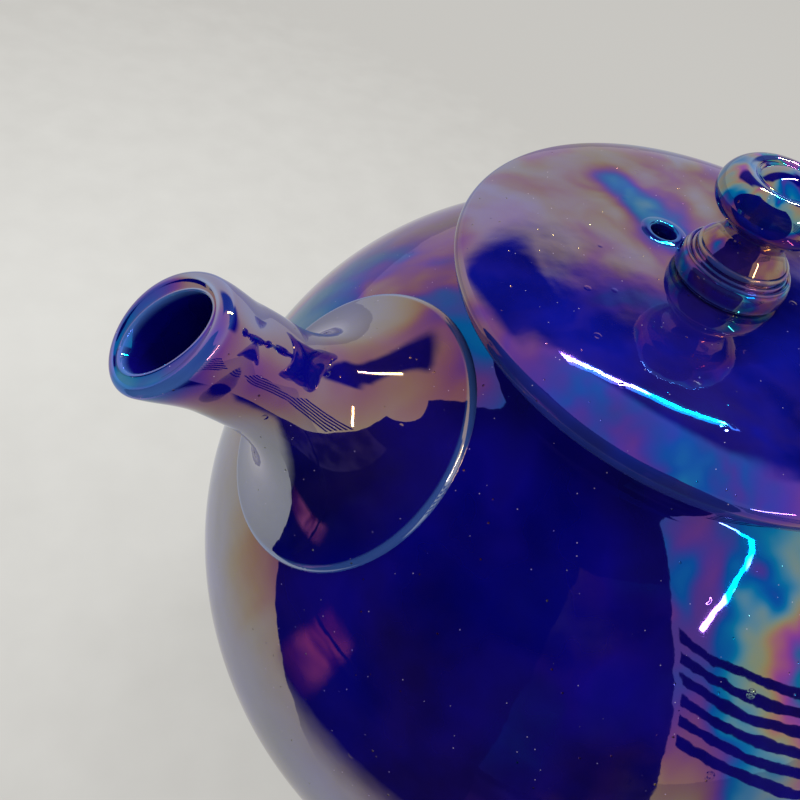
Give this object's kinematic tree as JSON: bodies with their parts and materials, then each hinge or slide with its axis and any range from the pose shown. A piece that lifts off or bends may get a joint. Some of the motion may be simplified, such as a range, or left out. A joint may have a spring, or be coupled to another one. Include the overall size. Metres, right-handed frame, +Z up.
{
  "type": "teapot",
  "caption": "Round glazed ceramic teapot with a luted flared spout, loop handle, strainer wall and a lift-off overhanging lid with a turned knob.",
  "frame": {"origin": "centre of the foot ring's resting plane, on the pot's turning axis", "axes": "+Z up along the pot's turning axis, spout towards -X, handle towards +X"},
  "size_m": [0.2056, 0.15, 0.155],
  "materials": {
    "pot_glaze": "gloss cobalt lustre glaze",
    "spout_glaze": "gloss cobalt lustre glaze",
    "handle_glaze": "gloss cobalt lustre glaze",
    "lid_glaze": "gloss cobalt lustre glaze",
    "knob_glaze": "gloss cobalt lustre glaze"
  },
  "bodies": {
    "pot": {"pot": "pot_glaze", "spout": "spout_glaze", "handle": "handle_glaze"},
    "lid": {"lid": "lid_glaze", "knob": "knob_glaze"}
  },
  "joints": [
    {"name": "lid_lift", "type": "slide", "parent": "pot", "child": "lid", "axis": [0, 0, 1], "range_m": [0, 0.06]}
  ]
}
